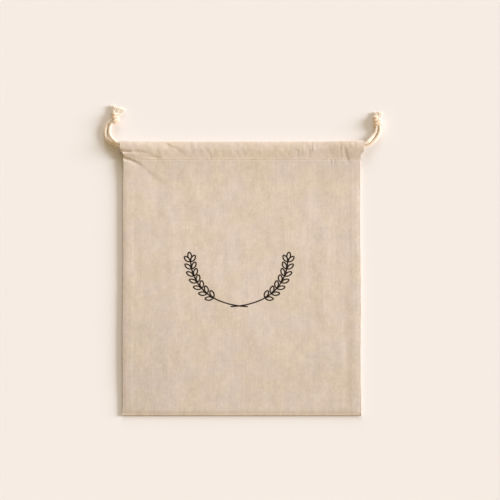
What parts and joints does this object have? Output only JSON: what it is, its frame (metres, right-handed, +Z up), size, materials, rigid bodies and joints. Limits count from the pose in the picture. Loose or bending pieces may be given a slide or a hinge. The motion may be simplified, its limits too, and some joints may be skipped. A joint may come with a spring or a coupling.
{
  "type": "linen bread bag",
  "caption": "Flat rectangular linen bread bag with a double drawstring mouth, its two cords knotted at the sides, lying face up.",
  "frame": {"origin": "middle of the bag on the surface that it lies on: half its width across, half its length up, at the underside of its back", "axes": "+X to the right across the bag as its face is seen, +Y from the folded bottom towards the drawstring mouth, +Z up through the face"},
  "size_m": [0.3576, 0.4348, 0.0138],
  "materials": {
    "linen": "natural unbleached linen, plain weave with slubs, matt",
    "cotton_cord": "natural cotton cord of three twisted strands, matt"
  },
  "bodies": {
    "root": {"bag": "linen", "front_cord": "cotton_cord", "back_cord": "cotton_cord", "left_knot": "cotton_cord", "right_knot": "cotton_cord"}
  },
  "joints": []
}
